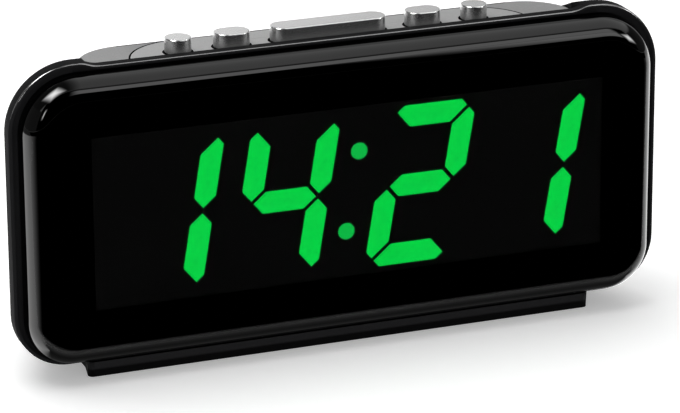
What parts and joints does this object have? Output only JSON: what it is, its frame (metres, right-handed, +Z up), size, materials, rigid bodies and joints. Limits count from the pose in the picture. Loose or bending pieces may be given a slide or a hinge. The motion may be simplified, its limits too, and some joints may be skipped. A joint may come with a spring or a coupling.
{
  "type": "digital led desk clock",
  "caption": "Table clock with a wide rounded dark lens over slanted green LED digits, a black tapered case on a shallow foot, and a grey deck with press buttons on top.",
  "frame": {"origin": "on the table under the middle of the clock", "axes": "+X along the width, to the right seen from the front; the lens faces -Y; +Z up"},
  "size_m": [0.1888, 0.048, 0.0906],
  "materials": {
    "smoked_lens": "polished smoked acrylic",
    "black_gloss": "gloss",
    "black_matte": "fine texture",
    "deck_grey": "satin metallic paint",
    "panel_silver": "satin metallic paint",
    "button_silver": "satin silver",
    "switch_black": "moulded",
    "circuit_board": "solder mask",
    "screw_steel": "zinc plated",
    "display_black": "matte",
    "lit_green": "lit diffuser",
    "unlit_segment": "dark diffuser",
    "dot_green": "lit diffuser",
    "capacitor_sleeve": "shrink sleeve",
    "cell_steel": "plain sleeve",
    "contact_brass": "plated",
    "pad_rubber": "matte",
    "ribbon_grey": "flexible",
    "lead_red": "flexible",
    "lead_black": "flexible"
  },
  "bodies": {
    "case": {"front_lens": "smoked_lens", "front_frame": "black_gloss", "rear_shell": "black_matte", "top_deck": "deck_grey", "control_panel": "panel_silver", "switch_bodies": "switch_black", "key_board": "circuit_board", "key_board_screws": "screw_steel", "display_housing": "display_black", "lit_segments": "lit_green", "unlit_segments": "unlit_segment", "colon_dots": "dot_green", "display_board": "circuit_board", "board_screws": "screw_steel", "controller_chip": "switch_black", "quartz_crystal": "screw_steel", "capacitors": "capacitor_sleeve", "driver_transistors": "switch_black", "resistors": "switch_black", "battery_box": "black_matte", "battery_cells": "cell_steel", "battery_contacts": "contact_brass", "power_jack": "switch_black", "jack_pin": "contact_brass", "piezo_sounder": "switch_black", "base_foot": "black_matte", "foot_pads": "pad_rubber", "foot_screws": "screw_steel", "case_screws": "screw_steel", "deck_screws": "screw_steel", "key_ribbon": "ribbon_grey", "battery_leads": "lead_red", "jack_leads": "lead_black", "sounder_leads": "lead_black"},
    "alarm_key": {"alarm_button": "button_silver", "alarm_plunger": "switch_black"},
    "hour_key": {"hour_button": "button_silver", "hour_plunger": "switch_black"},
    "snooze_key": {"snooze_button": "button_silver", "snooze_plunger": "switch_black"},
    "minute_key": {"minute_button": "button_silver", "minute_plunger": "switch_black"},
    "time_key": {"time_button": "button_silver", "time_plunger": "switch_black"},
    "door": {"battery_door": "black_matte"}
  },
  "joints": [
    {"name": "alarm_press", "type": "slide", "parent": "case", "child": "alarm_key", "axis": [0, 0, -1], "range_m": [0, 0.0005], "stiffness_N_per_m": 1200, "springref_m": -0.0005},
    {"name": "hour_press", "type": "slide", "parent": "case", "child": "hour_key", "axis": [0, 0, -1], "range_m": [0, 0.0005], "stiffness_N_per_m": 1200, "springref_m": -0.0005},
    {"name": "snooze_press", "type": "slide", "parent": "case", "child": "snooze_key", "axis": [0, 0, -1], "range_m": [0, 0.0005], "stiffness_N_per_m": 1200, "springref_m": -0.0005},
    {"name": "minute_press", "type": "slide", "parent": "case", "child": "minute_key", "axis": [0, 0, -1], "range_m": [0, 0.0005], "stiffness_N_per_m": 1200, "springref_m": -0.0005},
    {"name": "time_press", "type": "slide", "parent": "case", "child": "time_key", "axis": [0, 0, -1], "range_m": [0, 0.0005], "stiffness_N_per_m": 1200, "springref_m": -0.0005},
    {"name": "door_lift", "type": "slide", "parent": "case", "child": "door", "axis": [0, 1, 0], "range_m": [0, 0.025]}
  ]
}
